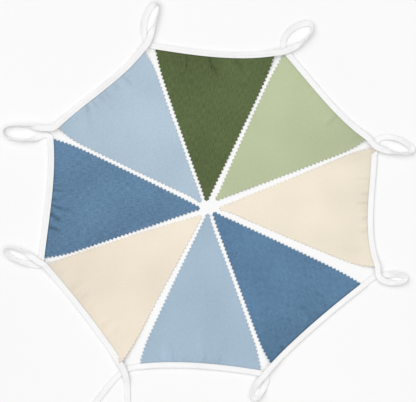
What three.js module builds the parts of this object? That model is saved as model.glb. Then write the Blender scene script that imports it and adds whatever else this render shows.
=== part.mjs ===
// Fabric bunting, laid out on a flat surface as a wheel. Eight cloth pennants with pinked edges are held
// by their tops in one long, folded, white tape. The tips meet in the middle, and the spare tape between
// two pennants is thrown outwards in a loop. Both ends of the tape are free.
//
// Sizes are in millimetres and degrees. +Z is up and z = 0 is the surface that it lies on. Headings are
// measured from +X towards +Y. The tables give places from the middle of the wheel, and the group moves
// that middle a little, so that the origin is at the middle of the bunting's footprint.
import * as THREE from 'three';

// Layers of cloth
const CLOTH = 1;
const AIR = 0.3;

// Pennants: all are cut with the same tip angle, and the tape takes in more or less of their tops
const HALF_TIP_ANGLE = 22.2;
const TOOTH_PITCH = 5.7;
const TOOTH_DEPTH = 2.6;
const BLUNT_TIP = 4;
const TUCKED = 6;

// Where a pinked edge leaves its straight line: it eases out of the tip, and is drawn in near the tape
const TIP_RUN = 20;
const DRAWN_RUN = 42;

// How far from the tape a pennant comes down to the surface, along its top and at a lifted corner
const RAMP = 14;
const CORNER_RAMP = 42;

// Puckers: how wide they are on each side of their crest, and, below 1, how near the tape they are highest
const PUCKER_WIDTH = 9;
const PUCKER_SKEW = 0.6;

// Points of a pennant's surface: distances from the pinked edge and the tape, and the least between two
const EDGE_INSET = 5;
const ROW_DEPTHS = [0, 4, 9, 16, 26, 45, 85, 135, 180];
const COLUMN_GAP = 3;

// Tape: one strip, folded along its length with the fold outwards
const TAPE_WIDTH = 8.4;
const FOLD_WALL = 1;

// The fold closes beyond a pennant's corner, between these distances from it
const CLOSING_FROM = 1;
const CLOSING_RUN = 7;

// Steps along the tape
const BINDING_STEP = 14;
const LOOP_STEP = 6;
const END_STEP = 4;
const JOIN_STEP = 3;
const LEAST_STEP = 0.5;

// How far a curve keeps its heading at its ends, as a share of the distance between them
const JOIN_PULL = 0.36;
const STRAND_PULL = 0.42;

// Where one strand of tape passes over another
const OVER_HEIGHT = 4.5;
const OVER_RUN = 18;
const HUMP_RISE = 4;
const CORNER_LIFT = 2.8;
const LIFT_RUN = 26;

// How a loop's strands turn from flat to their lean, and from one lean to the other round the far end
const FLAT_RUN = 6;
const LEAN_RUN = 20;
const TIP_TURN = 12;

// x, y: the tip. heading: from the tip to the tape. height: from the tip to the line of the tape's corners.
// bow: how far the tape sags towards the tip in the middle. tilt: how much further out it is at the second
// corner than in the middle. skew: how much it sags more on the first half than on the second.
// edges: for the first and second pinked edge, how far it lies outside its straight line near the tip and
// in the middle, and how far its corner is drawn in. puckers: [across from the middle, rise, reach from
// the tape].
const PENNANTS = [
  {
    name: 'pennant_cream_left', colour: 0xefe4d1, x: -7, y: -10, heading: 220.5, height: 215, bow: 2.5,
    tilt: -4.5, skew: 0.5, edges: [[1, -1, 4.5], [-0.5, 2, 0]],
    puckers: [[-25, 0.9, 24], [19, 1.0, 20], [46, 0.9, 18]],
  },
  {
    name: 'pennant_denim_left', colour: 0x6484a1, x: -8, y: -2.5, heading: 176.3, height: 215, bow: 4,
    tilt: -1, skew: -2.5, edges: [[-1, 0.5, 5], [0.5, 1, 4]],
    puckers: [[-41, 1.0, 14], [-26, 1.6, 22], [-11, 1.5, 30], [10, 1.2, 18], [24, 0.9, 20]],
  },
  {
    name: 'pennant_pale_left', colour: 0xb2c5d4, x: -8, y: 4.5, heading: 131.6, height: 212.5, bow: 2.5,
    tilt: 0, skew: -4.5, edges: [[-3, 0.5, 7], [1, -0.5, 6.5]],
    puckers: [[-50, 0.9, 14], [-24, 1.6, 30], [3, 1.3, 18], [20, 1.1, 16], [36, 1.0, 18]],
  },
  {
    name: 'pennant_moss', colour: 0x5c6a46, x: -2.5, y: 5, heading: 86.7, height: 211, bow: 6,
    tilt: 0, skew: -2, edges: [[-1, 1, 3], [0, 0.5, 3]],
    puckers: [[-39, 1.1, 22], [-1, 1.3, 34], [34, 1.1, 24]],
  },
  {
    name: 'pennant_sage', colour: 0xbbc5a1, x: 8.5, y: 7.5, heading: 42.9, height: 213, bow: 4.5,
    tilt: 1, skew: -3, edges: [[-2, 1.5, 2.5], [-0.5, 0.5, 6.5]],
    puckers: [[-45, 0.8, 28], [27, 0.8, 28]],
  },
  {
    name: 'pennant_cream_right', colour: 0xefe5d2, x: 12.5, y: -2.5, heading: 0, height: 218.5, bow: 7.5,
    tilt: 2, skew: -5.5, edges: [[0.5, -0.5, 4.5], [-3, 0.5, 8]],
    puckers: [[-20, 0.8, 14], [-5, 0.9, 14], [12, 0.9, 15], [28, 1.0, 16]],
  },
  {
    name: 'pennant_denim_right', colour: 0x60819f, x: 5, y: -5, heading: -47.6, height: 215, bow: 3,
    tilt: -1.5, skew: -0.5, edges: [[-1, 1, 3], [1, 0, 5]],
    puckers: [[-30, 0.7, 16], [22, 0.7, 16]],
  },
  {
    name: 'pennant_pale_bottom', colour: 0xa8bdce, x: 0, y: -6, heading: -92.8, height: 218, bow: 5.5,
    tilt: -0.5, skew: -1, edges: [[-2, 0.5, 4.5], [-0.5, 1, 4.5]],
    puckers: [[-26, 1.0, 14], [-5, 1.0, 14], [24, 1.1, 18], [38, 1.4, 26], [56, 0.9, 14]],
  },
];

// One loop after each pennant but the last. out, tip, back: [x, y, heading] where the tape leaves the
// corner, at the far end, and where it comes back. spread: how round the far end is before and after the
// tip. lean: how far the leaving and the returning strand stand on edge, above 0 with their outer edge up
// and below 0 with their inner edge up. turn: 1 to the left, where the strand that leaves passes over the
// one that returns, and -1 to the right, where it passes under.
const LOOPS = [
  {
    out: [-239, -75, 142], tip: [-283.5, -61, 265], back: [-238, -82, -6],
    spread: [8, 7], lean: [60, 45], turn: 1,
  },
  {
    out: [-230, 100.5, 208], tip: [-286, 105.5, 90], back: [-231, 110, -8],
    spread: [13, 12], lean: [80, 80], turn: -1,
  },
  {
    out: [-82.5, 233, 72], tip: [-72.5, 285, 188], back: [-87, 233, -66],
    spread: [12, 9], lean: [78, 20], turn: 1,
  },
  {
    out: [112, 219, 21], tip: [144, 255, 128], back: [105, 227, -88],
    spread: [12, 9], lean: [70, 15], turn: 1,
  },
  {
    out: [238, 82.5, -24], tip: [286, 80, 85], back: [239, 95, 212],
    spread: [8, 6], lean: [70, -25], turn: 1,
  },
  {
    out: [241, -100, -40], tip: [277, -99.5, 92], back: [239, -96.5, 188],
    spread: [7, 6], lean: [50, 40], turn: 1,
  },
  {
    out: [75.5, -239, 226], tip: [65.5, -268, -10], back: [82, -243, 70],
    spread: [10, 5], lean: [40, 60], turn: 1,
  },
];

// The free ends: [x, y, heading] at the plain cuts. The first one passes over the last one.
const FIRST_END = [-112, -285, 96];
const LAST_END = [-170, -288, 223];
const ENDS_OVERLAP = 14;

const TAPE_COLOUR = 0xf6f6f5;
const CLOTH_FINISH = { roughness: 0.9, metalness: 0, flatShading: true };

const radians = THREE.MathUtils.degToRad;
const smooth = (t) => THREE.MathUtils.smoothstep(t, 0, 1);
const direction = (heading) => new THREE.Vector2(1, 0).rotateAround(new THREE.Vector2(), radians(heading));

const EDGE_COS = Math.cos(radians(HALF_TIP_ANGLE));
const EDGE_SIN = Math.sin(radians(HALF_TIP_ANGLE));

// Half the width of a pennant at a distance from its tip.
const halfWidth = (height) => (height * EDGE_SIN) / EDGE_COS;

// How far the tape's inner edge lies inside the line of its corners, where across runs from -1 at the
// first corner to 1 at the second.
function sag({ bow, tilt, skew }, across) {
  return (bow - skew * across) * (1 - across * across) - tilt * across;
}

// How far a pinked edge lies outside its straight line, at a distance from the tip.
function edgeShift(pennant, [nearTip, middle, drawnIn], outward) {
  const share = Math.min(1, outward / pennant.height);
  const bulge = nearTip * (1 - share) ** 2 * smooth(outward / TIP_RUN) + middle * 4 * share * (1 - share);
  return bulge - drawnIn * Math.max(0, 1 - ((1 - share) * pennant.height) / DRAWN_RUN) ** 2;
}

// A place in plan, given on a pennant's plain triangle: outward from the tip, and sideways, clockwise
// round the wheel.
function place(pennant, outward, sideways) {
  const out = direction(pennant.heading);
  const side = new THREE.Vector2(out.y, -out.x);
  const tip = new THREE.Vector2(pennant.x, pennant.y);
  const share = Math.min(1, outward / pennant.height);
  const across = THREE.MathUtils.clamp(sideways / halfWidth(share * pennant.height), -1, 1);
  const shift = (across * edgeShift(pennant, pennant.edges[across < 0 ? 0 : 1], outward)) / EDGE_COS;
  return tip
    .addScaledVector(out, outward - share * sag(pennant, across))
    .addScaledVector(side, sideways + shift);
}

// The height of the tape's underside beside a pennant. A corner is lifted where the tape has just passed
// over itself, or is about to.
function bindingLift(index, across) {
  const half = halfWidth(PENNANTS[index].height);
  const lifted = (toCorner) => CORNER_LIFT * Math.max(0, 1 - toCorner / LIFT_RUN);
  const first = index === 0 || LOOPS[index - 1].turn < 0;
  const last = index < LOOPS.length && LOOPS[index].turn > 0;
  return (first ? lifted((1 + across) * half) : 0) + (last ? lifted((1 - across) * half) : 0);
}

// The height of the tape's underside beyond a lifted corner, by the distance from that corner: it rises
// over the other strand, and then comes down to the surface.
function humpHeight(toCorner, joinLength) {
  const rising = CORNER_LIFT + (OVER_HEIGHT - CORNER_LIFT) * smooth(toCorner / HUMP_RISE);
  const falling = OVER_HEIGHT * (1 - smooth((toCorner - joinLength - HUMP_RISE) / OVER_RUN));
  return Math.min(rising, falling);
}

// How far a pucker raises the cloth at a place on a pennant.
function puckerHeight([middle, rise, reach], sideways, depth) {
  const off = THREE.MathUtils.clamp((sideways - middle) / PUCKER_WIDTH, -1, 1);
  const along = THREE.MathUtils.clamp(depth / reach, 0, 1);
  return rise * Math.cos((off * Math.PI) / 2) ** 2 * Math.sin(Math.PI * along ** PUCKER_SKEW);
}

// The underside of a pennant's cloth. It runs up into the tape's fold, and the puckers start from the tape.
function clothHeight(index, sideways, depth) {
  const pennant = PENNANTS[index];
  const across = THREE.MathUtils.clamp(sideways / halfWidth(pennant.height), -1, 1);
  const seat = (CLOTH + AIR) * (1 - smooth(depth / RAMP));
  const lift = bindingLift(index, across) * (1 - smooth(depth / CORNER_RAMP));
  return pennant.puckers.reduce((z, pucker) => z + puckerHeight(pucker, sideways, depth), seat + lift);
}

// Triangles between two chains of points that run the same way, each step taken along the chain that lags.
function stitch(left, right, distance, addFace) {
  let i = 0;
  let j = 0;
  while (i < left.length - 1 || j < right.length - 1) {
    const leftNext = i < left.length - 1 ? distance(left[i + 1]) : Infinity;
    const rightNext = j < right.length - 1 ? distance(right[j + 1]) : Infinity;
    if (leftNext < rightNext) {
      addFace(left[i], right[j], left[i + 1]);
      i++;
    } else {
      addFace(left[i], right[j], right[j + 1]);
      j++;
    }
  }
}

// The pinked edge on one side (-1 or 1), from the tip to the tape: teeth that point outwards, and their
// roots. The last point is on the edge's middle line, at the tape.
function pinkedEdge(pennant, sideSign) {
  const slant = pennant.height / EDGE_COS - BLUNT_TIP;
  const steps = Math.floor(slant / (TOOTH_PITCH / 2));
  return Array.from({ length: steps + 1 }, (_, k) => {
    const along = BLUNT_TIP + (k * slant) / steps;
    const tooth = (k % 2 ? 0.5 : -0.5) * TOOTH_DEPTH;
    const proud = k === steps ? 0 : tooth;
    return [along * EDGE_COS - proud * EDGE_SIN, sideSign * (along * EDGE_SIN + proud * EDGE_COS)];
  });
}

// Where a pennant's surface points stand between the pinked edges, from -1 to 1: at both sides, where the
// corners begin to lift, and along the puckers.
function columns(pennant) {
  const inner = halfWidth(pennant.height) - EDGE_INSET / EDGE_COS;
  const knot = halfWidth(pennant.height) - LIFT_RUN;
  const fixed = [-inner, -knot, knot, inner];
  const folds = pennant.puckers
    .flatMap(([middle]) => [middle - PUCKER_WIDTH, middle, middle + PUCKER_WIDTH])
    .sort((a, b) => a - b)
    .filter((u, i, all) => i === 0 || u - all[i - 1] > COLUMN_GAP)
    .filter((u) => fixed.every((other) => Math.abs(u - other) > COLUMN_GAP));
  return [...fixed, ...folds].sort((a, b) => a - b).map((u) => u / inner);
}

// One pennant: its upper face, the same face below it, and a wall round its outline. Each point of the
// face is [outward, sideways, depth from the tape].
function pennantGeometry(index) {
  const pennant = PENNANTS[index];
  const across = columns(pennant);
  const points = [];
  const faces = [];
  const addPoint = (outward, sideways, depth) => points.push([outward, sideways, depth]) - 1;
  const addFace = (a, b, c) => faces.push([a, b, c]);
  const outwardOf = (id) => points[id][0];

  const apex = addPoint(EDGE_INSET / EDGE_SIN, 0, pennant.height);
  const rows = [...ROW_DEPTHS].reverse().map((depth) => {
    const full = pennant.height - depth;
    const inner = halfWidth(full) - EDGE_INSET / EDGE_COS;
    return across.map((c) => addPoint(full, c * inner, depth));
  });
  const edges = [-1, 1].map((sideSign) => pinkedEdge(pennant, sideSign).map(([outward, sideways]) => (
    addPoint(outward, sideways, pennant.height - outward))));

  for (let i = 0; i + 1 < across.length; i++) {
    addFace(apex, rows[0][i + 1], rows[0][i]);
    for (let j = 0; j + 1 < rows.length; j++) {
      addFace(rows[j][i], rows[j][i + 1], rows[j + 1][i + 1]);
      addFace(rows[j][i], rows[j + 1][i + 1], rows[j + 1][i]);
    }
  }
  stitch(edges[0], [apex, ...rows.map((row) => row[0])], outwardOf, addFace);
  stitch([apex, ...rows.map((row) => row[row.length - 1])], edges[1], outwardOf, addFace);
  addFace(edges[0][0], edges[1][0], apex);

  const mouth = [edges[0].at(-1), ...rows.at(-1), edges[1].at(-1)];
  const hidden = mouth.map((id) => addPoint(points[id][0] + TUCKED, points[id][1], 0));
  for (let i = 0; i + 1 < mouth.length; i++) {
    addFace(mouth[i], mouth[i + 1], hidden[i + 1]);
    addFace(mouth[i], hidden[i + 1], hidden[i]);
  }
  return closedSheet(index, points, faces, [...edges[1], ...hidden.reverse(), ...edges[0].reverse()]);
}

// Turns a face, given by points in a pennant's own plan, into a closed sheet of cloth.
function closedSheet(index, points, faces, outline) {
  const count = points.length;
  const positions = [];
  for (const top of [CLOTH, 0]) {
    for (const [outward, sideways, depth] of points) {
      const { x, y } = place(PENNANTS[index], outward, sideways);
      positions.push(x, y, clothHeight(index, sideways, depth) + top);
    }
  }
  const indices = [];
  for (const [a, b, c] of faces) {
    indices.push(a, b, c, a + count, c + count, b + count);
  }
  outline.forEach((a, i) => {
    const b = outline[(i + 1) % outline.length];
    indices.push(a, b + count, b, a, a + count, b + count);
  });
  return indexedGeometry(positions, indices);
}

function indexedGeometry(positions, indices) {
  const geometry = new THREE.BufferGeometry();
  geometry.setAttribute('position', new THREE.Float32BufferAttribute(positions, 3));
  geometry.setIndex(indices);
  geometry.computeVertexNormals();
  return geometry;
}

// The middle of the tape beside a pennant.
function bindingPoint(pennant, across) {
  return place(pennant, pennant.height + TAPE_WIDTH / 2, across * halfWidth(pennant.height));
}

// The tape's place and heading beside a pennant.
function bindingEnd(pennant, across) {
  const near = 0.01;
  const run = bindingPoint(pennant, across + near).sub(bindingPoint(pennant, across - near));
  return [...bindingPoint(pennant, across).toArray(), THREE.MathUtils.radToDeg(run.angle())];
}

// Points of a cubic curve that leaves one place on its heading and arrives at another on that one's.
function sweepPoints(from, leave, to, arrive, step) {
  const start = new THREE.Vector2(from[0], from[1]);
  const end = new THREE.Vector2(to[0], to[1]);
  const first = start.clone().addScaledVector(direction(from[2]), leave);
  const second = end.clone().addScaledVector(direction(to[2]), -arrive);
  const curve = new THREE.CubicBezierCurve(start, first, second, end);
  return curve.getSpacedPoints(Math.max(3, Math.round(curve.getLength() / step)));
}

// A short join between two places, each [x, y, heading].
function joinPoints(from, to, step) {
  const pull = JOIN_PULL * Math.hypot(to[0] - from[0], to[1] - from[1]);
  return sweepPoints(from, pull, to, pull, step);
}

// Gives each point of a run of tape its distance from the run's start, and the run's length.
function measured(points) {
  const distances = [0];
  for (let i = 1; i < points.length; i++) {
    distances.push(distances[i - 1] + points[i].distanceTo(points[i - 1]));
  }
  return points.map((point, i) => ({ point, along: distances[i], length: distances.at(-1) }));
}

// The gap in the tape's fold, by the distance beyond a pennant's corner.
function foldGap(toCorner) {
  const open = CLOTH + 2 * AIR;
  return open + (AIR - open) * smooth((toCorner - CLOSING_FROM) / CLOSING_RUN);
}

// The tape's stations from its first free end to its last: place, height of the underside, lean and fold.
function tapeStations() {
  const stations = [];
  const add = (point, under, lean, fold) => {
    const last = stations.at(-1);
    if (!last || last.point.distanceTo(point) > LEAST_STEP) stations.push({ point, under, lean, fold });
  };

  const start = measured(joinPoints(FIRST_END, bindingEnd(PENNANTS[0], -1), END_STEP));
  for (const { point, along, length } of start) {
    add(point, humpHeight(length - along, ENDS_OVERLAP), 0, foldGap(length - along));
  }
  PENNANTS.forEach((pennant, index) => {
    addBinding(add, index);
    if (index < LOOPS.length) addLoop(add, index);
  });
  const end = measured(joinPoints(bindingEnd(PENNANTS.at(-1), 1), LAST_END, END_STEP));
  for (const { point, along } of end) {
    add(point, 0, 0, foldGap(along));
  }
  return stations;
}

// The stations beside one pennant, with one where each corner begins to lift.
function addBinding(add, index) {
  const pennant = PENNANTS[index];
  const half = halfWidth(pennant.height);
  const knot = 1 - LIFT_RUN / half;
  const steps = Math.round((2 * knot * half) / BINDING_STEP);
  const inside = Array.from({ length: steps + 1 }, (_, k) => knot * ((2 * k) / steps - 1));
  for (const across of [-1, ...inside, 1]) {
    add(bindingPoint(pennant, across), bindingLift(index, across), 0, foldGap(0));
  }
}

// The stations of one loop, with the joins to the pennants on both sides.
function addLoop(add, index) {
  const loop = LOOPS[index];
  const leavesOver = loop.turn > 0;
  const reach = STRAND_PULL * Math.hypot(loop.tip[0] - loop.out[0], loop.tip[1] - loop.out[1]);
  const leaving = measured(joinPoints(bindingEnd(PENNANTS[index], 1), loop.out, JOIN_STEP));
  const away = sweepPoints(loop.out, reach, loop.tip, loop.spread[0], LOOP_STEP);
  const home = sweepPoints(loop.tip, loop.spread[1], loop.back, reach, LOOP_STEP);
  const strands = measured([...away, ...home.slice(1)]);
  const tipAlong = strands[away.length - 1].along;
  const returning = measured(joinPoints(loop.back, bindingEnd(PENNANTS[index + 1], -1), JOIN_STEP));
  const joinLength = (leavesOver ? leaving : returning)[0].length;

  for (const { point, along } of leaving) {
    add(point, leavesOver ? humpHeight(along, joinLength) : 0, 0, foldGap(along));
  }
  for (const { point, along, length } of strands) {
    const toNeck = leavesOver ? along : length - along;
    const round = smooth((along - tipAlong) / TIP_TURN + 0.5);
    const full = THREE.MathUtils.lerp(loop.lean[0], loop.lean[1], round);
    const lean = full * smooth((Math.min(along, length - along) - FLAT_RUN) / LEAN_RUN);
    add(point, humpHeight(joinLength + toNeck, joinLength), -loop.turn * lean, AIR);
  }
  for (const { point, along, length } of returning) {
    const toCorner = length - along;
    add(point, leavesOver ? 0 : humpHeight(toCorner, joinLength), 0, foldGap(toCorner));
  }
}

// The folded tape's section at a station, as points across the tape and through it: the fold is on the
// outer side of the wheel, and the two layers are open towards the pennants.
function tapeSection(fold) {
  const half = TAPE_WIDTH / 2;
  const thick = CLOTH + fold / 2;
  return [
    [-half, -thick], [half, -thick], [half, thick], [-half, thick],
    [-half, fold / 2], [half - FOLD_WALL, fold / 2], [half - FOLD_WALL, -fold / 2], [-half, -fold / 2],
  ];
}

// The triangles that close the section, by its points.
const SECTION_CAP = [[0, 1, 6], [0, 6, 7], [1, 2, 5], [1, 5, 6], [2, 3, 4], [2, 4, 5]];

function tapeGeometry() {
  const stations = tapeStations();
  const positions = [];
  stations.forEach(({ point, under, lean, fold }, i) => {
    const before = stations[Math.max(0, i - 1)].point;
    const after = stations[Math.min(stations.length - 1, i + 1)].point;
    const ahead = after.clone().sub(before).normalize();
    const cos = Math.cos(radians(lean));
    const sin = Math.sin(radians(lean));
    const middle = under + (TAPE_WIDTH / 2) * Math.abs(sin) + (CLOTH + fold / 2) * cos;
    for (const [across, through] of tapeSection(fold)) {
      const sideways = across * cos - through * sin;
      const up = across * sin + through * cos;
      positions.push(point.x - ahead.y * sideways, point.y + ahead.x * sideways, middle + up);
    }
  });

  const corners = tapeSection(AIR).length;
  const lastRing = (stations.length - 1) * corners;
  const indices = [];
  for (let ring = 0; ring < lastRing; ring += corners) {
    for (let k = 0; k < corners; k++) {
      const a = ring + k;
      const b = ring + ((k + 1) % corners);
      indices.push(a, b, a + corners, b, b + corners, a + corners);
    }
  }
  for (const [a, b, c] of SECTION_CAP) {
    indices.push(a, c, b, lastRing + a, lastRing + b, lastRing + c);
  }
  return indexedGeometry(positions, indices);
}

function cloth(name, geometry, colour) {
  const mesh = new THREE.Mesh(geometry, new THREE.MeshStandardMaterial({ color: colour, ...CLOTH_FINISH }));
  mesh.name = name;
  return mesh;
}

const bunting = new THREE.Group();
PENNANTS.forEach(({ name, colour }, index) => bunting.add(cloth(name, pennantGeometry(index), colour)));
bunting.add(cloth('tape', tapeGeometry(), TAPE_COLOUR));

// The footprint's middle goes to the origin.
const footprint = new THREE.Box3().setFromObject(bunting).getCenter(new THREE.Vector3());
bunting.position.set(-footprint.x, -footprint.y, 0);

export default bunting;
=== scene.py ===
import math

import bpy
import numpy as np
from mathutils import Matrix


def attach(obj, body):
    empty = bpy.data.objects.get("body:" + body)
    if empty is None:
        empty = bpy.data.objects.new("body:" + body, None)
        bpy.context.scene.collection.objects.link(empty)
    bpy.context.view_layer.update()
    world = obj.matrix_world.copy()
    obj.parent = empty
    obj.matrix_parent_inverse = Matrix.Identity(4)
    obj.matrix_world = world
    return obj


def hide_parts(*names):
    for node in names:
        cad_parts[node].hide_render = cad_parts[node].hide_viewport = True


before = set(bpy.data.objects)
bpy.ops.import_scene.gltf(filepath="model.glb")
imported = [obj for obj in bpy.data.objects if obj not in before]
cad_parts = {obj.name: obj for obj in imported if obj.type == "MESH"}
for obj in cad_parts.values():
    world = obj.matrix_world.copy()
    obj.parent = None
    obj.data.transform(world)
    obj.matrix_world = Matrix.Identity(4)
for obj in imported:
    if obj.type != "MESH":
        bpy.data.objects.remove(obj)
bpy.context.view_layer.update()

# Fabric bunting, laid out on a pale floor as a wheel and seen from straight above. Eight pennants of
# woven cloth with pinked edges are held by their tops in one long folded tape, sewn with white thread.
#
# Tables are in millimetres and degrees, with places measured from the middle of the wheel and headings
# from +X towards +Y. MM turns them into the frame's metres.
MM = 0.001
WHEEL_MIDDLE = (-1.202, 1.196)

# Pennants: the cut, the cloth's thickness, the height of its underside in the tape, and how far up the rows
# that are tucked into the tape lie
HALF_TIP_ANGLE = math.radians(22.2)
TOOTH_PITCH = 5.7
TOOTH_DEPTH = 2.6
BLUNT_TIP = 4
CLOTH = 0.5
SEAT = 1.3
TUCKED = (0.8, 2.2, 4, 6)

# How fine a pennant's grid is: rows on each flank of a tooth, columns at fixed distances from each pinked
# edge, closer together where half the pennant's width is under FULL_FROM_HALF_WIDTH, and even columns
# between them
ROWS_PER_FLANK = 2
EDGE_COLUMNS = (0, 1, 2.1, 3.4)
FULL_FROM_HALF_WIDTH = 6
INNER_COLUMNS = 108

# Over what length a pinked edge leaves its straight line at the tip, and is drawn in at the tape
TIP_RUN = 20
DRAWN_RUN = 42

# How far from the tape a pennant comes down to the floor, along its top and at a lifted corner
RAMP = 14
CORNER_RAMP = 42

# Puckers: half their width, and the power that moves their highest place towards the tape
PUCKER_WIDTH = 9
PUCKER_SKEW = 0.6

# Unevenness of the cloth: slow waves, small gathers beside the tape, the curl of each tooth, and the edges
# that stand off the floor
WAVE_HEIGHT = 0.9
WAVE_LENGTHS = (48, 120)
GATHER_HEIGHT = 0.22
GATHER_LENGTHS = (7, 17)
GATHER_RISE = 3
GATHER_REACH = 13
TOOTH_CURL = 0.7
TOOTH_CURL_WIDTH = 4
TOOTH_CURL_POWER = 1.5
EDGE_LIFT_WIDTH = 14

# Creases: the height for each 1 of shade, the distance from the tape in which it grows, how fast a crease
# fades to its sides, and where it begins and ends along itself, as shares of its length
CREASE_HEIGHT = 5
CREASE_RISE = 2.5
CREASE_FALLOFF = 1.6
CREASE_BEGINS = -0.25
CREASE_GROWTH = 0.45
CREASE_ENDS = 1.15
CREASE_FADE = 0.7

# Shade of the cloth: its range, the lightest colour, the distance from the tip at which its trend is nil,
# and how far from the tape the painted shade beside it and the painted shadow along its edge reach
DARKER = 0.6
LIGHTER = 0.5
BRIGHTEST = 0.98
TREND_MIDDLE = 140
TAPE_SIDE_SHADE_REACH = 12
TAPE_EDGE_SHADOW_WIDTH = 2.6

# Tape: half its width, its layers, the steps along it, where its fold closes beyond a pennant's corner, and
# how far its curves run straight on, as shares of the distance that they span
HALF_TAPE = 4.2
TAPE_LAYER = 0.5
TAPE_STEP = 1.3
LEAST_STEP = 0.3
CURVE_POINTS = 400
CLOSING_FROM = 1
CLOSING_RUN = 7
JOIN_PULL = 0.36
STRAND_PULL = 0.42

# Where one strand of tape passes over another: its height and how it comes down, how the corner of the
# pennant beside it is lifted, and how far the first free end stays up
OVER_HEIGHT = 4.5
OVER_RUN = 18
HUMP_RISE = 4
CORNER_LIFT = 2.8
LIFT_RUN = 26
ENDS_OVERLAP = 14

# How the loops lean: they are flat for FLAT_RUN at both ends, lean fully LEAN_RUN further on, and change
# from one strand's lean to the other's over TIP_TURN at the far end
FLAT_RUN = 6
LEAN_RUN = 20
TIP_TURN = 12
LEAN_WOBBLE = 4
LEAN_WOBBLE_LENGTHS = (30, 90)

# Wrinkles of the folded layer, which are nil at the stitches and from WRINKLE_EDGE outwards
TAPE_WRINKLE = 0.14
LOWER_WRINKLE = 0.5
WRINKLE_LENGTHS = (5, 14)
WRINKLE_FROM_STITCHES = 3
WRINKLE_EDGE = 3.9
WRINKLE_FROM_EDGE = 1.5

# The tape's folded layer in section, from its lower inner edge round the fold to its upper inner edge:
# place across the tape, and height from its middle plane where it holds a pennant and where it is closed
FOLD = (
    (-4.2, -0.95, -0.36), (-2.6, -0.9, -0.33), (-0.8, -1.2, -0.42), (1.2, -1.45, -0.52),
    (2.8, -1.5, -0.55), (3.55, -1.15, -0.42), (3.85, -0.6, -0.22), (3.95, 0, 0), (3.85, 0.65, 0.22),
    (3.5, 1.15, 0.42), (2.7, 1.42, 0.55), (1.4, 1.38, 0.54), (0, 1.12, 0.47), (-1.4, 0.78, 0.4),
    (-2.6, 0.5, 0.3), (-3.4, 0.66, 0.36), (-4.2, 0.68, 0.36),
)

# Half the folded tape's thickness where it holds a pennant and where it is closed
OPEN_HALF = 1.8
CLOSED_HALF = 0.8

# Stitches along the tape's inner edge. STITCH_RINGS: for each ring of a stitch, its place as a share of the
# length, its size and its height off the tape as shares of the thread
STITCH_LINE = -2.6
STITCH_PITCH = 3
STITCH_LENGTH = 2.3
STITCH_RINGS = np.array(
    ((-0.5, 0.3, -0.3), (-0.3, 0.9, 0), (0, 1, 0.05), (0.3, 0.9, 0), (0.5, 0.3, -0.3))
)
THREAD = 0.2

# The corners of a thread's section, as turns round its middle
HEXAGON = np.arange(6) * math.pi / 3

# Seeds of everything random. The first three have a pennant's number added.
WAVE_SEED = 100
GATHER_SEED = 200
CURL_SEED = 300
LEAN_SEED = 400
UPPER_WRINKLE_SEED = 500
LOWER_WRINKLE_SEED = 501
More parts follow.
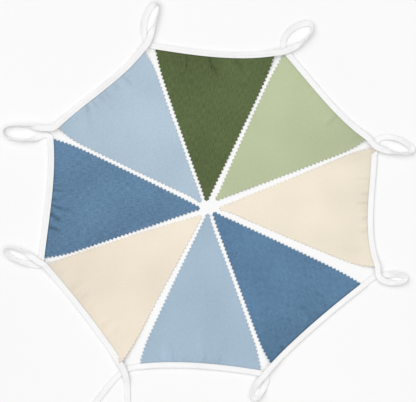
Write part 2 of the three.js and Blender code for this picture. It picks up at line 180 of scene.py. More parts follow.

# x, y: the tip. heading: from the tip to the tape. height: from the tip to the line of the tape's corners.
# bow: how far the tape sags towards the tip. tilt: how much further out it is at the second corner than in
# the middle. skew: how much it sags more on the first half than on the second. edges: for each pinked edge,
# how far it lies outside its straight line near the tip and in the middle, and how far its corner is drawn
# in. puckers: (across from the middle, rise, reach from the tape).
# creases: (across, depth, across, depth, half width, shade), from their root to their end, with the depth
# from the line of the corners. shade: below 0 for a trough and above 0 for a ridge; it sets the crease's
# height, and it is also painted into the cloth's colour as painted shade in a trough and painted light on a
# ridge, as much as it is darker or lighter than the cloth beside it.
# trend: how much lighter the cloth gets in 100 mm towards its second side, and in 100 mm towards the tape.
# lifted: (side, height, reach from the tape) of a pinked edge that stands off the floor.
# cloth: which cloth, and colour: its own shade of it.
PENNANTS = (
    {
        "name": "pennant_cream_left", "cloth": "cream", "colour": (232, 221, 203),
        "x": -7, "y": -10, "heading": 220.5, "height": 215, "bow": 2.5,
        "tilt": -4.5, "skew": 0.5, "edges": ((1, -1, 4.5), (-0.5, 2, 0)),
        "puckers": ((-25, 0.9, 24), (19, 1.0, 20), (46, 0.9, 18)),
        "creases": (
            (21, 7, 20, 24, 2.6, -0.075), (-46, 11, -46, 24, 6, -0.04), (2, 7, 3, 19, 3, -0.03),
            (38, 10, 36.5, 30, 2.4, -0.025), (32, 12, 32, 27, 3, 0.02), (10, 9, 11, 20, 3, 0.02),
            (62, 7, 66, 17, 3, -0.03), (-32, 6, -28, 14, 5, -0.03),
        ),
        "trend": (-0.02, -0.035),
        "lifted": ((-1, 1.6, 90),),
    },
    {
        "name": "pennant_denim_left", "cloth": "denim", "colour": (94, 126, 155),
        "x": -8, "y": -2.5, "heading": 176.3, "height": 215, "bow": 4,
        "tilt": -1, "skew": -2.5, "edges": ((-1, 0.5, 5), (0.5, 1, 4)),
        "puckers": ((-41, 1.0, 14), (-26, 1.6, 22), (-11, 1.5, 30), (10, 1.2, 18), (24, 0.9, 20)),
        "creases": (
            (-39, 2, -44.5, 21, 3, -0.36), (-20, 3, -32, 21, 3.4, -0.36), (-9, 3, -14, 27, 2.6, -0.32),
            (-14, 22, -17, 36, 4, -0.12), (0, 3, -1, 18, 2, -0.2), (12.8, 3, 12, 23, 2, -0.28),
            (20.2, 4, 19.5, 20, 1.8, -0.12), (30.6, 4, 30, 14, 2, -0.16), (-27, 20, -38, 48, 7, -0.06),
            (-32, 6, -37, 18, 3, 0.06), (-15, 8, -20, 20, 2.4, 0.07), (6, 6, 5.5, 18, 3, 0.06),
        ),
        "trend": (0.105, 0.01),
        "lifted": (),
    },
    {
        "name": "pennant_pale_left", "cloth": "pale", "colour": (171, 190, 205),
        "x": -8, "y": 4.5, "heading": 131.6, "height": 212.5, "bow": 2.5,
        "tilt": 0, "skew": -4.5, "edges": ((-3, 0.5, 7), (1, -0.5, 6.5)),
        "puckers": ((-50, 0.9, 14), (-24, 1.6, 30), (3, 1.3, 18), (20, 1.1, 16), (36, 1.0, 18)),
        "creases": (
            (-28, 2, -50, 34, 6, -0.075), (-29, 1, -36, 14, 2.6, -0.07), (-20, 3, -20.5, 18, 2.2, -0.085),
            (-8, 3, -7, 16, 2.4, -0.05), (2.4, 2, 2.6, 14, 2, -0.085), (17, 3, 20, 17, 2.2, -0.06),
            (35, 3, 38.5, 29, 3, -0.1), (-24, 3, -27, 16, 2.4, 0.07), (-14.5, 4, -15, 16, 2.4, 0.05),
            (9, 6, 9, 20, 4, 0.035), (27, 6, 28, 20, 4, 0.04), (-50, 3, -57, 12, 1.8, -0.04),
        ),
        "trend": (0.04, 0.002),
        "lifted": (),
    },
    {
        "name": "pennant_moss", "cloth": "moss", "colour": (86, 99, 62),
        "x": -2.5, "y": 5, "heading": 86.7, "height": 211, "bow": 6,
        "tilt": 0, "skew": -2, "edges": ((-1, 1, 3), (0, 0.5, 3)),
        "puckers": ((-39, 1.1, 22), (-1, 1.3, 34), (34, 1.1, 24)),
        "creases": (
            (-39, 5, -38, 30, 1.8, -0.2), (-7, 6, -2, 24, 3, -0.27), (-3, 19, 8, 33, 3.6, -0.22),
            (28, 6, 39, 19, 3, -0.26), (39, 16, 40, 28, 2.8, -0.18), (-33, 12, -33, 26, 3, 0.07),
            (15, 8, 17, 26, 5, 0.05), (-14, 10, -13, 24, 3, 0.06),
        ),
        "trend": (0.023, -0.024),
        "lifted": (),
    },
    {
        "name": "pennant_sage", "cloth": "sage", "colour": (180, 190, 155),
        "x": 8.5, "y": 7.5, "heading": 42.9, "height": 213, "bow": 4.5,
        "tilt": 1, "skew": -3, "edges": ((-2, 1.5, 2.5), (-0.5, 0.5, 6.5)),
        "puckers": ((-45, 0.8, 28), (27, 0.8, 28)),
        "creases": (
            (29, 4, 30.5, 20, 2.6, -0.07), (30.5, 16, 28.5, 31, 2.6, -0.05), (-18, 15, -32, 29, 2.4, 0.03),
            (22, 13, 23, 27, 3, 0.035), (-46, 5, -46, 12, 2.2, -0.03), (-31, 6, -31, 12, 2.2, -0.03),
            (-10, 8, -9, 24, 3, 0.03), (-22, 6, -21, 15, 3, 0.025), (72, 2, 66, 26, 5, -0.04),
        ),
        "trend": (-0.09, -0.01),
        "lifted": (),
    },
    {
        "name": "pennant_cream_right", "cloth": "cream", "colour": (232, 222, 204),
        "x": 12.5, "y": -2.5, "heading": 0, "height": 218.5, "bow": 7.5,
        "tilt": 2, "skew": -5.5, "edges": ((0.5, -0.5, 4.5), (-3, 0.5, 8)),
        "puckers": ((-20, 0.8, 14), (-5, 0.9, 14), (12, 0.9, 15), (28, 1.0, 16)),
        "creases": (
            (-42, 4, -42, 28, 2.4, -0.045), (-20.6, 6, -20.6, 20, 2.4, -0.1),
            (-8.5, 6, -7, 26, 2.8, -0.11), (4, 7, 4, 16, 2.4, -0.05), (14, 7, 15, 16, 3.6, -0.055),
            (33, 7, 33.5, 18, 2.4, -0.06), (58, 10, 58, 50, 8, -0.035), (9, 8, 9, 18, 2, 0.03),
            (24, 8, 24, 20, 3, 0.03),
        ),
        "trend": (-0.005, -0.04),
        "lifted": ((-1, 2, 110),),
    },
    {
        "name": "pennant_denim_right", "cloth": "denim", "colour": (90, 124, 154),
        "x": 5, "y": -5, "heading": -47.6, "height": 215, "bow": 3,
        "tilt": -1.5, "skew": -0.5, "edges": ((-1, 1, 3), (1, 0, 5)),
        "puckers": ((-30, 0.7, 16), (22, 0.7, 16)),
        "creases": (
            (-26, 6, -32, 23, 2, -0.12), (-32, 20, -32, 42, 2.4, -0.08), (-3, 5, -1, 18, 2, -0.12),
            (-13, 5, -9, 13, 2, -0.11), (-6, 23, 2, 38, 2.6, -0.1), (24, 24, 24, 33, 3.4, -0.08),
            (56, 4, 57, 13, 2.4, -0.14), (-38, 8, -44, 20, 2.4, 0.05), (-19, 8, -21, 26, 3, 0.05),
            (6, 10, 8, 22, 3, 0.04),
        ),
        "trend": (-0.085, -0.045),
        "lifted": (),
    },
    {
        "name": "pennant_pale_bottom", "cloth": "pale", "colour": (161, 182, 199),
        "x": 0, "y": -6, "heading": -92.8, "height": 218, "bow": 5.5,
        "tilt": -0.5, "skew": -1, "edges": ((-2, 0.5, 4.5), (-0.5, 1, 4.5)),
        "puckers": ((-26, 1.0, 14), (-5, 1.0, 14), (24, 1.1, 18), (38, 1.4, 26), (56, 0.9, 14)),
        "creases": (
            (-27, 7, -27, 20, 2.2, -0.085), (-4, 6, -6.5, 22, 2.6, -0.09), (38, 6, 40.5, 22, 2.6, -0.1),
            (41, 18, 41, 34, 4.5, -0.04), (56, 5, 63, 17, 2, -0.06), (12, 6, 12, 13, 2, -0.06),
            (24, 6, 24, 14, 2, -0.06), (50, 7, 54, 30, 4.5, 0.07), (-11, 8, -11.5, 18, 2, 0.04),
            (3, 24, 5, 56, 5, 0.035), (-38, 22, -30, 55, 12, -0.025), (31, 8, 32, 26, 3, 0.03),
        ),
        "trend": (-0.005, -0.016),
        "lifted": (),
    },
)

# One loop after each pennant but the last. out, tip, back: x, y and heading where the tape leaves the
# corner, at the far end, and where it comes back. spread: how round the far end is before and after the
# tip. lean: how far the leaving and the returning strand stand on edge, above 0 with their outer edge up
# and below 0 with their inner edge up. turn: 1 to the left, where the strand that leaves passes over the
# one that returns, and -1 to the right, where it passes under.
LOOPS = (
    {
        "out": (-239, -75, 142), "tip": (-283.5, -61, 265), "back": (-238, -82, -6),
        "spread": (8, 7), "lean": (60, 45), "turn": 1,
    },
    {
        "out": (-230, 100.5, 208), "tip": (-286, 105.5, 90), "back": (-231, 110, -8),
        "spread": (13, 12), "lean": (80, 80), "turn": -1,
    },
    {
        "out": (-82.5, 233, 72), "tip": (-72.5, 285, 188), "back": (-87, 233, -66),
        "spread": (12, 9), "lean": (78, 20), "turn": 1,
    },
    {
        "out": (112, 219, 21), "tip": (144, 255, 128), "back": (105, 227, -88),
        "spread": (12, 9), "lean": (70, 15), "turn": 1,
    },
    {
        "out": (238, 82.5, -24), "tip": (286, 80, 85), "back": (239, 95, 212),
        "spread": (8, 6), "lean": (70, -25), "turn": 1,
    },
    {
        "out": (241, -100, -40), "tip": (277, -99.5, 92), "back": (239, -96.5, 188),
        "spread": (7, 6), "lean": (50, 40), "turn": 1,
    },
    {
        "out": (75.5, -239, 226), "tip": (65.5, -268, -10), "back": (82, -243, 70),
        "spread": (10, 5), "lean": (40, 60), "turn": 1,
    },
)
FIRST_END = (-112, -285, 96)
LAST_END = (-170, -288, 223)

# Cloths. slot: the record's material. pitch: of the threads. along, across, lumps, patches: how much the
# shade differs either way between threads that run towards the tape, between those that run beside it,
# between lumps of a few millimetres, and between broad patches. tape_side_shade, tape_edge_shadow: how much
# painted shade darkens it beside the tape, and how much a painted shadow darkens it along the tape's edge.
# grain: the height of the weave.
CLOTHS = {
    "cream": {
        "slot": "cloth_cream", "pitch": 0.45, "along": 0.008, "across": 0.008, "lumps": 0.014,
        "patches": 0.05, "tape_side_shade": 0.03, "tape_edge_shadow": 0.08, "grain": 0.05,
    },
    "denim": {
        "slot": "cloth_denim", "pitch": 0.6, "along": 0.2, "across": 0.16, "lumps": 0.05,
        "patches": 0.09, "tape_side_shade": 0.02, "tape_edge_shadow": 0.36, "grain": 0.09,
    },
    "pale": {
        "slot": "cloth_pale", "pitch": 0.5, "along": 0.028, "across": 0.028, "lumps": 0.038,
        "patches": 0.055, "tape_side_shade": 0.02, "tape_edge_shadow": 0.08, "grain": 0.06,
    },
    "moss": {
        "slot": "cloth_moss", "pitch": 0.7, "along": 0.3, "across": 0.1, "lumps": 0.05,
        "patches": 0.12, "tape_side_shade": 0.02, "tape_edge_shadow": 0.3, "grain": 0.1,
    },
    "sage": {
        "slot": "cloth_sage", "pitch": 0.5, "along": 0.014, "across": 0.014, "lumps": 0.024,
        "patches": 0.035, "tape_side_shade": 0.02, "tape_edge_shadow": 0.09, "grain": 0.06,
    },
}

# The noise in a cloth's shade: its layer in CLOTHS, the width and length of its lumps, how far it is moved
# from the other layers, and its detail. PENNANT_SHIFT moves it from one pennant to the next, and most of a
# noise's values lie in USUAL_NOISE.
CLOTH_NOISE = (
    ("along", (0.9, 8), 0, 3.0), ("across", (8, 0.9), 11, 3.0),
    ("lumps", (3.5, 3.5), 17, 2.0), ("patches", (70, 90), 23, 1.0),
)
PENNANT_SHIFT = 37.0
USUAL_NOISE = (0.3, 0.7)

# How much of a bump comes from the weave, and how much of a cloth's from its noise
WEAVE_SHARE = 0.6
SLUB_SHARE = 0.7

# The whites, how much their shade differs either way, and the pitch of the tape's threads
TAPE_WHITE = (240, 240, 240)
TAPE_SHADE = 0.03
TAPE_PITCH = 0.4
THREAD_WHITE = (245, 245, 243)
THREAD_SHADE = 0.04
FLOOR_WHITE = (243, 243, 243)
FLOOR_SHADE = 0.006

# Light: the sky, and each sun's name, strength, spread and tilt from straight down
SKY = 0.33
SUNS = (("key", 0.68, 50, 45), ("overhead", 1.83, 100, 0))
SUN_HEADING = 225

# Floor and camera, in metres. The view is as wide as the photograph's 416 pixels of 1.4 mm. SENSOR and
# VIEW_SHIFT, which is how far the middle of the picture lies above that of the wheel, are in millimetres.
FLOOR_HALF = 12
CAMERA_HEIGHT = 2.4
SENSOR = 36
VIEW_WIDTH = 0.5824
VIEW_SHIFT = 8.4

# The slant of a pennant's long edges
EDGE_COS = math.cos(HALF_TIP_ANGLE)
EDGE_SIN = math.sin(HALF_TIP_ANGLE)
EDGE_TAN = math.tan(HALF_TIP_ANGLE)


def smooth(t):
    """A step from 0 to 1 with soft ends."""
    t = np.clip(t, 0, 1)
    return t * t * (3 - 2 * t)


def direction(heading):
    """The unit vector of a heading in degrees."""
    angle = math.radians(heading)
    return np.array((math.cos(angle), math.sin(angle)))


def in_frame(points):
    """Millimetres from the middle of the wheel as the frame's metres."""
    return (points + np.array((*WHEEL_MIDDLE, 0))) * MM


def waves(seed, places, lengths, count=9):
    """Uneven ripples over places (one or two coordinates in the last axis), about -1 to 1."""
    random = np.random.default_rng(seed)
    total = np.zeros(places.shape[:-1])
    one_way = places.shape[-1] == 1
    for _ in range(count):
        turn = random.uniform(0, 2 * math.pi)
        length = random.uniform(*lengths)
        phase = random.uniform(0, 2 * math.pi)
        aim = np.ones(1) if one_way else np.array((math.cos(turn), math.sin(turn)))
        total += np.cos(2 * math.pi * (places @ aim) / length + phase)
    return total / math.sqrt(2 * count)


def make_mesh(name, points, faces, weave, flat_from=None):
    """A new object from points in millimetres. weave is each point's place in its material, with the shade
    of a pennant's cloth as its third value: its trend, with painted shade and painted light. Faces from
    flat_from on are a cut edge or end, which keeps its corners."""
    mesh = bpy.data.meshes.new(name)
    mesh.from_pydata(in_frame(points).tolist(), [], faces.tolist())
    mesh.shade_smooth()
    if flat_from is not None:
        flat = np.zeros(len(faces), dtype=bool)
        flat[flat_from:] = True
        mesh.attributes.new("sharp_face", "BOOLEAN", "FACE").data.foreach_set("value", flat)
    place = mesh.attributes.new("weave", "FLOAT_VECTOR", "POINT")
    place.data.foreach_set("vector", np.asarray(weave, dtype=float).ravel())
    piece = bpy.data.objects.new(name, mesh)
    bpy.context.scene.collection.objects.link(piece)
    return piece


def ring_walls(rings, corners):
    """The numbers of the points of a row of rings, and the faces from each ring to the next."""
    ids = np.arange(rings * corners).reshape(rings, corners)
    beside = np.roll(ids, -1, axis=1)
    walls = np.stack((ids[:-1], beside[:-1], beside[1:], ids[1:]), axis=-1).reshape(-1, 4)
    return ids, walls


# Pennants


def half_width(height):
    """Half the width of a pennant at a distance from its tip."""
    return height * EDGE_TAN


def sag(pennant, across):
    """How far the tape's inner edge lies inside the line of its corners, with across from -1 to 1."""
    return (pennant["bow"] - pennant["skew"] * across) * (1 - across * across) - pennant["tilt"] * across


def edge_shift(pennant, row, outward):
    """How far a pinked edge lies outside its straight line, at a distance from the tip."""
    near_tip, middle, drawn_in = row
    share = np.minimum(1, outward / pennant["height"])
    bulge = near_tip * (1 - share) ** 2 * smooth(outward / TIP_RUN) + middle * 4 * share * (1 - share)
    return bulge - drawn_in * np.maximum(0, 1 - (1 - share) * pennant["height"] / DRAWN_RUN) ** 2


def settled(pennant, outward, sideways):
    """Where places on a pennant's plain triangle really lie, outward from the tip and sideways."""
    share = np.minimum(1, outward / pennant["height"])
    across = np.clip(sideways / half_width(share * pennant["height"]), -1, 1)
    shifts = [edge_shift(pennant, row, outward) for row in pennant["edges"]]
    shift = across * np.where(across < 0, shifts[0], shifts[1]) / EDGE_COS
    return outward - share * sag(pennant, across), sideways + shift


def place(pennant, outward, sideways):
    """Places on a pennant's plain triangle in plan: outward from the tip, and sideways, clockwise round
    the wheel."""
    outward, sideways = settled(pennant, outward, sideways)
    out = direction(pennant["heading"])
    side = np.array((out[1], -out[0]))
    tip = np.array((pennant["x"], pennant["y"]))
    return tip + np.multiply.outer(outward, out) + np.multiply.outer(sideways, side)


def binding_lift(index, across):
    """The height of the tape's underside beside a pennant, which is lifted at a corner where the tape
    passes over itself."""
    half = half_width(PENNANTS[index]["height"])
    lift = np.zeros_like(across)
    if index == 0 or LOOPS[index - 1]["turn"] < 0:
        lift = lift + CORNER_LIFT * np.maximum(0, 1 - (1 + across) * half / LIFT_RUN)
    if index < len(LOOPS) and LOOPS[index]["turn"] > 0:
        lift = lift + CORNER_LIFT * np.maximum(0, 1 - (1 - across) * half / LIFT_RUN)
    return lift


def pucker(row, sideways, depth):
    """A broad ridge that starts from the tape."""
    middle, rise, reach = row
    off = np.clip((sideways - middle) / PUCKER_WIDTH, -1, 1)
    along = np.clip(depth / reach, 0, 1)
    return rise * np.cos(off * math.pi / 2) ** 2 * np.sin(math.pi * along**PUCKER_SKEW)


def crease(row, sideways, depth):
    """The shade of a crease between two places, strongest near its root: it sets the crease's height, and it
    is painted shade in a trough and painted light on a ridge.
    """
    start = np.array(row[0:2])
    run = np.array(row[2:4]) - start
    width, shade = row[4:6]
    across = sideways - start[0]
    down = depth - start[1]
    length = np.hypot(*run)
    along = (across * run[0] + down * run[1]) / length**2
    off = (across * run[1] - down * run[0]) / length
    growth = smooth((along - CREASE_BEGINS) / CREASE_GROWTH)
    fade = growth * smooth((CREASE_ENDS - along) / CREASE_FADE)
    return shade * np.exp(-((off / width) ** 2) * CREASE_FALLOFF) * fade


def creased(pennant, sideways, outward):
    """The shade of all of a pennant's creases, below 0 in a trough and above 0 on a ridge: it sets their
    height, and is painted into the cloth's colour as painted shade and painted light.
    """
    real_outward, real_sideways = settled(pennant, outward, sideways)
    real_depth = pennant["height"] - real_outward
    return sum(crease(row, real_sideways, real_depth) for row in pennant["creases"])


def slow_waves(index, sideways, outward, depth):
    """Low, broad waves all over a pennant, which die away beside the tape."""
    real_outward, real_sideways = settled(PENNANTS[index], outward, sideways)
    places = np.stack((real_sideways, real_outward), axis=-1)
    slow = 0.5 + 0.5 * np.clip(waves(WAVE_SEED + index, places, WAVE_LENGTHS), -1, 1)
    return WAVE_HEIGHT * slow * smooth(depth / GATHER_REACH)


def gathers(index, sideways, depth):
    """Small gathers beside the tape."""
    ripples = waves(GATHER_SEED + index, sideways[..., None], GATHER_LENGTHS)
    height = GATHER_HEIGHT * (1 + ripples) * smooth(depth / GATHER_RISE)
    return height * (1 - smooth((depth - GATHER_RISE) / GATHER_REACH))


def cloth_height(index, sideways, outward, depth, edge, tooth):
    """The underside of a pennant's cloth. edge is the distance inwards from the pinked edge on each
    side, and tooth the number of the tooth."""
    pennant = PENNANTS[index]
    across = np.clip(sideways / half_width(pennant["height"]), -1, 1)
    z = SEAT * (1 - smooth(depth / RAMP))
    z = z + binding_lift(index, across) * (1 - smooth(depth / CORNER_RAMP))
    for row in pennant["puckers"]:
        z = z + pucker(row, sideways, depth)
    z = z + CREASE_HEIGHT * creased(pennant, sideways, outward) * smooth(depth / CREASE_RISE)
    z = z + slow_waves(index, sideways, outward, depth)
    z = z + gathers(index, sideways, depth)
    curls = np.random.default_rng(CURL_SEED + index).uniform(0, 1, (2, int(tooth.max()) + 2))
    for side, rows in ((-1, curls[0]), (1, curls[1])):
        near = np.clip(1 - edge[side] / TOOTH_CURL_WIDTH, 0, 1)
        z = z + TOOTH_CURL * rows[tooth] * near**TOOTH_CURL_POWER
        for lifted_side, rise, reach in pennant["lifted"]:
            if lifted_side == side:
                z = z + rise * (1 - smooth(depth / reach)) * (1 - smooth(edge[side] / EDGE_LIFT_WIDTH))
    return np.maximum(z, 0)


def cloth_shade(pennant, sideways, outward, depth):
    """How much lighter or darker a pennant's cloth is: its slow trend, painted shade in its creases' troughs
    and painted light on their ridges, painted shade beside the tape, and a painted shadow along the tape's
    edge.
    """
    cloth = CLOTHS[pennant["cloth"]]
    to_side, to_tape = pennant["trend"]
    shade = (to_side * sideways + to_tape * (outward - TREND_MIDDLE)) / 100
    # Painted shade in the creases' troughs and painted light on their ridges
    shade = shade + creased(pennant, sideways, outward)
    # Painted shade beside the tape, and a painted shadow along the tape's edge
    shade = shade - cloth["tape_side_shade"] * (1 - smooth(depth / TAPE_SIDE_SHADE_REACH))
    return shade - cloth["tape_edge_shadow"] * (1 - smooth(depth / TAPE_EDGE_SHADOW_WIDTH))


def tooth_rows(pennant):
    """The rows of a pennant's grid, from the tip to the tape: how far out each one is, how far its ends
    stand out from the middle of the teeth, and the number of its tooth."""
    slant = pennant["height"] / EDGE_COS - BLUNT_TIP
    flanks = int(slant / (TOOTH_PITCH / 2))
    flank = np.arange(flanks * ROWS_PER_FLANK + 1) / ROWS_PER_FLANK
    along = BLUNT_TIP + flank * slant / flanks
    proud = (0.5 - np.abs(flank % 2 - 1)) * TOOTH_DEPTH
    proud[-1] = 0
    full = np.append(along * EDGE_COS, pennant["height"] + np.array(TUCKED))
    proud = np.append(proud, np.zeros(len(TUCKED)))
    tooth = np.append(flank, np.full(len(TUCKED), flank[-1])) // 2
    return full, proud, tooth.astype(int)


def pennant_grid(pennant):
    """Rows from the tip to the tape, and columns from one pinked edge to the other: how far outward and
    sideways each point is, its row's distance from the tape, its distance from each edge, and its tooth."""
    full, proud, tooth = tooth_rows(pennant)
    half = half_width(np.minimum(full, pennant["height"]))
    room = np.minimum(1, half / FULL_FROM_HALF_WIDTH)
    insets = np.multiply.outer(room / EDGE_COS, np.array(EDGE_COLUMNS))
    inner = (half - insets[:, -1])[:, None]
    middle = np.linspace(-1, 1, INNER_COLUMNS + 2)[1:-1] * inner
    sideways = np.hstack((insets - half[:, None], middle, half[:, None] - insets[:, ::-1]))

    outward = full[:, None] + np.zeros_like(sideways)
    depth = np.maximum(0, pennant["height"] - outward)
    edge = {}
    for side in (-1, 1):
        edge[side] = (half[:, None] - side * sideways) * EDGE_COS
        share = np.clip(1 - edge[side] / (room[:, None] * EDGE_COLUMNS[-1]), 0, 1)
        push = proud[:, None] * share
        outward = outward - push * EDGE_SIN
        sideways = sideways + side * push * EDGE_COS
    tooth = np.repeat(tooth[:, None], sideways.shape[1], axis=1)
    return outward, sideways, depth, edge, tooth


def grid_faces(rows, columns, count):
    """Faces of two layers of a grid and of the rim between them, and how many there are before the rim."""
    ids = np.arange(rows * columns).reshape(rows, columns)
    quads = np.stack((ids[:-1, :-1], ids[:-1, 1:], ids[1:, 1:], ids[1:, :-1]), axis=-1).reshape(-1, 4)
    outline = np.concatenate((ids[0, :-1], ids[:-1, -1], ids[-1, :0:-1], ids[:0:-1, 0]))
    ahead = np.roll(outline, -1)
    rim = np.stack((outline + count, ahead + count, ahead, outline), axis=-1)
    return np.vstack((quads, quads[:, ::-1] + count, rim)), 2 * len(quads)


def make_pennant(index):
    """One pennant: two layers of points a cloth's thickness apart, and the cut edge between them."""
    pennant = PENNANTS[index]
    outward, sideways, depth, edge, tooth = pennant_grid(pennant)
    under = cloth_height(index, sideways, outward, depth, edge, tooth)
    plan = place(pennant, outward, sideways).reshape(-1, 2)
    top = np.column_stack((plan, under.ravel() + CLOTH))
    bottom = np.column_stack((plan, under.ravel()))
    faces, rim = grid_faces(*outward.shape, len(plan))
    # The shade carried in the weave: the trend, with painted shade and light from the creases and beside the
    # tape
    shade = cloth_shade(pennant, sideways, outward, depth)
    weave = np.column_stack((sideways.ravel(), outward.ravel(), shade.ravel()))
    name = pennant["name"].replace("pennant", "cloth")
    return make_mesh(name, np.vstack((top, bottom)), faces, np.vstack((weave, weave)), rim)


# Tape


def binding_point(pennant, across):
    """The middle of the tape beside a pennant."""
    return place(pennant, pennant["height"] + HALF_TAPE, across * half_width(pennant["height"]))


def binding_end(pennant, across):
    """The tape's place and heading beside a pennant's corner."""
    near = 0.01
    run = binding_point(pennant, across + near) - binding_point(pennant, across - near)
    return (*binding_point(pennant, across), math.degrees(math.atan2(run[1], run[0])))


def run_lengths(points):
    """Each point's distance along a run of points."""
    steps = np.hypot(*np.diff(points, axis=0).T)
    return np.append(0, np.cumsum(steps))


def sweep(start, leave, end, arrive):
    """Even points of a cubic curve from one place and heading to another. leave and arrive are how far it
    is pulled straight on at its two ends."""
    first = np.array(start[:2])
    last = np.array(end[:2])
    second = first + direction(start[2]) * leave
    third = last - direction(end[2]) * arrive
    t = np.linspace(0, 1, CURVE_POINTS)[:, None]
    fine = (1 - t) ** 3 * first + 3 * (1 - t) ** 2 * t * second + 3 * (1 - t) * t**2 * third + t**3 * last
    lengths = run_lengths(fine)
    even = np.linspace(0, lengths[-1], max(4, round(lengths[-1] / TAPE_STEP) + 1))
    return np.column_stack([np.interp(even, lengths, fine[:, k]) for k in (0, 1)])


def join(start, end):
    """A short run of tape between two places."""
    pull = JOIN_PULL * math.hypot(end[0] - start[0], end[1] - start[1])
    return sweep(start, pull, end, pull)


def hump(to_corner, join_length):
    """The height of the tape's underside beyond a lifted corner, where it passes over the other strand."""
    rising = CORNER_LIFT + (OVER_HEIGHT - CORNER_LIFT) * smooth(to_corner / HUMP_RISE)
    falling = OVER_HEIGHT * (1 - smooth((to_corner - join_length - HUMP_RISE) / OVER_RUN))
    return np.minimum(rising, falling)


def openness(to_corner):
    """How open the fold is beyond a pennant's corner: 1 where it holds the cloth, 0 where it is closed."""
    return 1 - smooth((to_corner - CLOSING_FROM) / CLOSING_RUN)


def loop_runs(index):
    """The runs of tape of one loop: points, height of the underside, lean and openness."""
    loop = LOOPS[index]
    over = loop["turn"] > 0
    reach = STRAND_PULL * math.hypot(loop["tip"][0] - loop["out"][0], loop["tip"][1] - loop["out"][1])
    leaving = join(binding_end(PENNANTS[index], 1), loop["out"])
    away = sweep(loop["out"], reach, loop["tip"], loop["spread"][0])
    home = sweep(loop["tip"], loop["spread"][1], loop["back"], reach)
    strands = np.vstack((away, home[1:]))
    returning = join(loop["back"], binding_end(PENNANTS[index + 1], -1))

    left = run_lengths(leaving)
    along = run_lengths(strands)
    to_end = along[-1] - along
    to_corner = run_lengths(returning)[-1] - run_lengths(returning)
    join_length = left[-1] if over else to_corner[0]
    round_tip = smooth((along - run_lengths(away)[-1]) / TIP_TURN + 0.5)
    full = loop["lean"][0] * (1 - round_tip) + loop["lean"][1] * round_tip
    lean = -loop["turn"] * full * smooth((np.minimum(along, to_end) - FLAT_RUN) / LEAN_RUN)
    to_neck = along if over else to_end
    low = np.zeros_like
    leaving_height = hump(left, join_length) if over else low(left)
    strands_height = hump(join_length + to_neck, join_length)
    returning_height = low(to_corner) if over else hump(to_corner, join_length)
    return (
        (leaving, leaving_height, low(left), openness(left)),
        (strands, strands_height, lean, low(along)),
        (returning, returning_height, low(to_corner), openness(to_corner)),
    )


def binding_run(index):
    """The run of tape beside one pennant."""
    half = half_width(PENNANTS[index]["height"])
    across = np.linspace(-1, 1, round(2 * half / TAPE_STEP) + 1)
    points = np.array([binding_point(PENNANTS[index], c) for c in across])
    return points, binding_lift(index, across), np.zeros_like(across), np.ones_like(across)


def softened(values, reach=3):
    """Values along the tape with their sharp turns rounded off."""
    padded = np.pad(values, reach, mode="edge")
    return np.convolve(padded, np.full(2 * reach + 1, 1 / (2 * reach + 1)), mode="valid")


def tape_runs():
    """All runs of tape from its first free end to its last."""
    first = join(FIRST_END, binding_end(PENNANTS[0], -1))
    along = run_lengths(first)
    to_corner = along[-1] - along
    runs = [(first, hump(to_corner, ENDS_OVERLAP), np.zeros_like(along), openness(to_corner))]
    for index in range(len(PENNANTS)):
        runs.append(binding_run(index))
        if index < len(LOOPS):
            runs.extend(loop_runs(index))
    last = join(binding_end(PENNANTS[-1], 1), LAST_END)
    along = run_lengths(last)
    runs.append((last, np.zeros_like(along), np.zeros_like(along), openness(along)))
    return runs


def tape_route():
    """The whole tape: at every station along it, its place, the height of its underside, its lean, how open
    its fold is, and which way is ahead."""
    runs = tape_runs()
    points = np.vstack([run[0] for run in runs])
    under, lean, opened = (np.concatenate([run[k] for run in runs]) for k in (1, 2, 3))
    apart = np.append(1, np.hypot(*np.diff(points, axis=0).T))
    kept = apart > LEAST_STEP
    points = points[kept]
    under, lean, opened = (softened(values[kept]) for values in (under, lean, opened))
    lengths = run_lengths(points)
    ahead = np.gradient(points, lengths, axis=0)
    ahead /= np.hypot(*ahead.T)[:, None]
    wobble = LEAN_WOBBLE * waves(LEAN_SEED, lengths[:, None], LEAN_WOBBLE_LENGTHS)
    lean = lean + wobble * (1 - opened)
    return {
        "points": points, "under": under, "lean": np.radians(lean), "open": opened, "ahead": ahead,
        "along": lengths,
    }


def on_tape(route, across, through):
    """Points of the tape's section at every station: across the tape, and through it from its middle
    plane. across and through have a row for each station."""
    cos = np.cos(route["lean"])[:, None]
    sin = np.sin(route["lean"])[:, None]
    half = CLOSED_HALF + (OPEN_HALF - CLOSED_HALF) * route["open"][:, None]
    middle = route["under"][:, None] + HALF_TAPE * np.abs(sin) + half * cos
    sideways = across * cos - through * sin
    up = middle + across * sin + through * cos
    normal = np.column_stack((-route["ahead"][:, 1], route["ahead"][:, 0]))
    plan = route["points"][:, None, :] + sideways[..., None] * normal[:, None, :]
    return np.dstack((plan, up))


def fold_section(route):
    """The folded layer's middle line at every station, across the tape and through it, with its wrinkles."""
    fold = np.array(FOLD)
    opened = route["open"][:, None]
    across = np.repeat(fold[None, :, 0], len(opened), axis=0)
    through = fold[None, :, 1] * opened + fold[None, :, 2] * (1 - opened)
    from_stitches = np.clip(np.abs(fold[:, 0] - STITCH_LINE) / WRINKLE_FROM_STITCHES, 0, 1)
    loose = from_stitches * np.clip((WRINKLE_EDGE - fold[:, 0]) / WRINKLE_FROM_EDGE, 0, 1)
    spots = np.stack(np.broadcast_arrays(route["along"][:, None], fold[None, :, 0]), axis=-1)
    upper = np.arange(len(fold)) > len(fold) // 2
    for layer, seed, share in ((upper, UPPER_WRINKLE_SEED, 1), (~upper, LOWER_WRINKLE_SEED, LOWER_WRINKLE)):
        through = through + share * TAPE_WRINKLE * waves(seed, spots, WRINKLE_LENGTHS) * loose * layer
    return across, through


